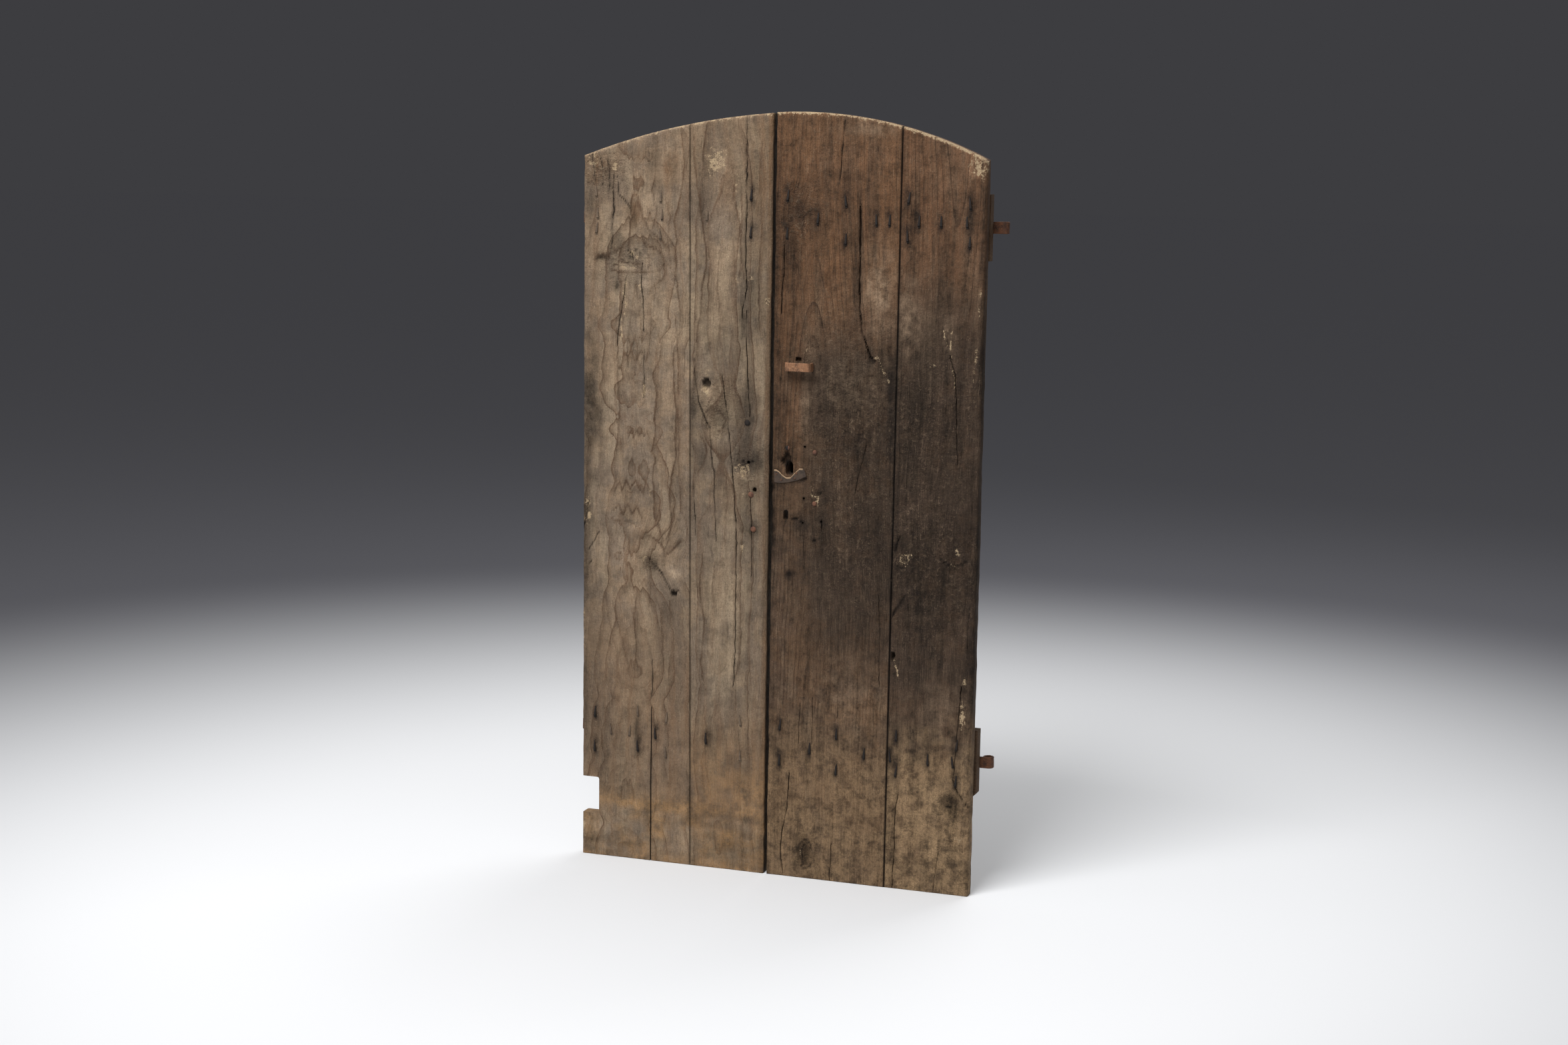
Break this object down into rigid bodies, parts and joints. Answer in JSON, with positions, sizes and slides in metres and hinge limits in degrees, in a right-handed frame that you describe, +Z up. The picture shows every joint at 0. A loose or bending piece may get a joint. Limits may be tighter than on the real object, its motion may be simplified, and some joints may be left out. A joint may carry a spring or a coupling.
{
  "type": "arched double door",
  "caption": "Pair of arched ledged board door leaves on forged strap hinges, with a pull staple, a torn keyhole plate and a rim lock whose bolt slides into a keeper.",
  "frame": {"origin": "on the floor, midway over the hinge eyes and midway between the pull's front and the eyes' back", "axes": "+Z up the closed leaves, +X from the left leaf to the right leaf, +Y from the front to the back"},
  "size_m": [1.044, 0.122, 1.8045],
  "materials": {
    "left_leaf_wood": "weathered grey-brown softwood, dry and split",
    "right_leaf_wood": "dark weathered softwood, rubbed by use",
    "batten_wood": "rough sawn and weathered",
    "strap_iron": "forged iron, brown rust",
    "nail_iron": "forged iron, dark rust",
    "rusty_head_iron": "forged iron, red rust",
    "pull_iron": "forged iron, orange-brown rust, rubbed",
    "plate_iron": "thin sheet iron, brown rust",
    "lock_iron": "sheet and bar iron, dark brown rust"
  },
  "bodies": {
    "left_leaf": {"left_wide_board": "left_leaf_wood", "left_narrow_board": "left_leaf_wood", "left_upper_batten": "batten_wood", "left_lower_batten": "batten_wood", "left_upper_hinge_strap": "strap_iron", "left_lower_hinge_strap": "strap_iron", "left_batten_nails": "nail_iron", "left_strap_nails": "nail_iron", "bolt_keeper": "lock_iron", "keeper_nails": "rusty_head_iron"},
    "right_leaf": {"right_wide_board": "right_leaf_wood", "right_narrow_board": "right_leaf_wood", "right_upper_batten": "batten_wood", "right_lower_batten": "batten_wood", "right_upper_hinge_strap": "strap_iron", "right_lower_hinge_strap": "strap_iron", "right_batten_nails": "nail_iron", "right_strap_nails": "nail_iron", "pull_staple": "pull_iron", "keyhole_plate": "plate_iron", "keyhole_plate_rivets": "plate_iron", "lock_case": "lock_iron", "bolt_guide": "lock_iron", "bolt_spring": "lock_iron", "lock_nails": "rusty_head_iron"},
    "lock_bolt": {"lock_bolt": "lock_iron"}
  },
  "joints": [
    {"name": "right_leaf_swing", "type": "hinge", "parent": "left_leaf", "child": "right_leaf", "pos_m": [0.509, 0.048, 0.929], "axis": [0, 0, -1], "range_deg": [0, 105]},
    {"name": "bolt_slide", "type": "slide", "parent": "right_leaf", "child": "lock_bolt", "axis": [-1, 0, 0], "range_m": [0, 0.026]}
  ]
}
